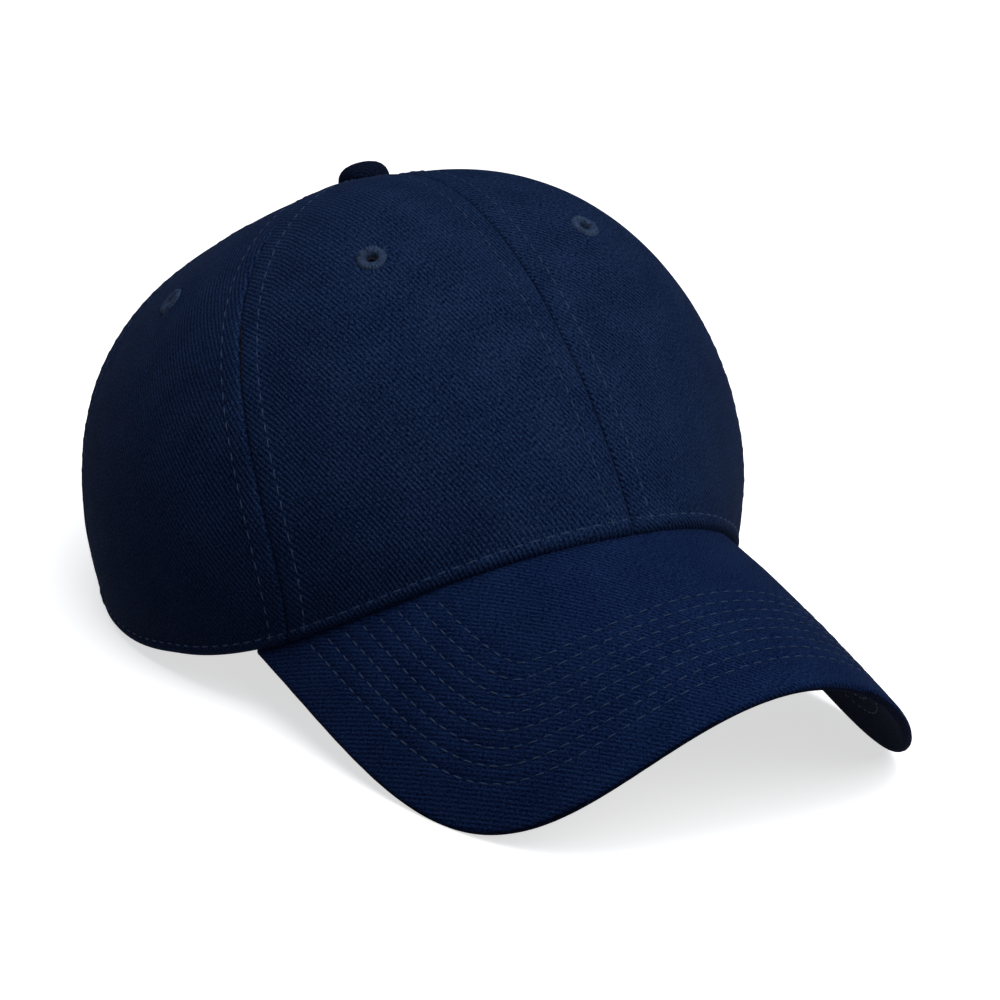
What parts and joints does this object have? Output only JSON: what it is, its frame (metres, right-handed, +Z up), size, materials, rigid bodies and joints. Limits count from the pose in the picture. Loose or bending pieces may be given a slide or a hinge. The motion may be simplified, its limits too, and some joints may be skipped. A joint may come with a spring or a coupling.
{
  "type": "sun protection cap",
  "caption": "Structured cloth cap of sewn panels with a pre-curved peak, covered top button, stitched eyelets, taped seams and a back opening closed by a strap.",
  "frame": {"origin": "middle of the base of the bounding box, on the surface that the cap rests on", "axes": "+Z up as the cap rests, the peak points along -Y, the wearer's left is +X"},
  "size_m": [0.178, 0.3, 0.1321],
  "materials": {
    "navy_twill": "brushed cotton twill",
    "navy_thread": "wound thread",
    "navy_button_cloth": "cotton twill stretched over a button",
    "navy_sweatband_cloth": "folded cotton twill",
    "gold_tape": "flat cotton tape",
    "silver_metal": "polished"
  },
  "bodies": {
    "root": {"front_panel_left": "navy_twill", "front_panel_right": "navy_twill", "middle_panel_left": "navy_twill", "middle_panel_right": "navy_twill", "back_panel_left": "navy_twill", "back_panel_right": "navy_twill", "front_eyelet_left": "navy_thread", "front_eyelet_right": "navy_thread", "middle_eyelet_left": "navy_thread", "middle_eyelet_right": "navy_thread", "back_eyelet_left": "navy_thread", "back_eyelet_right": "navy_thread", "seam_tape_centre": "gold_tape", "seam_tape_from_left": "gold_tape", "seam_tape_from_right": "gold_tape", "top_button": "navy_button_cloth", "button_rivet": "silver_metal", "peak": "navy_twill", "sweatband": "navy_sweatband_cloth", "back_strap": "navy_twill"}
  },
  "joints": []
}
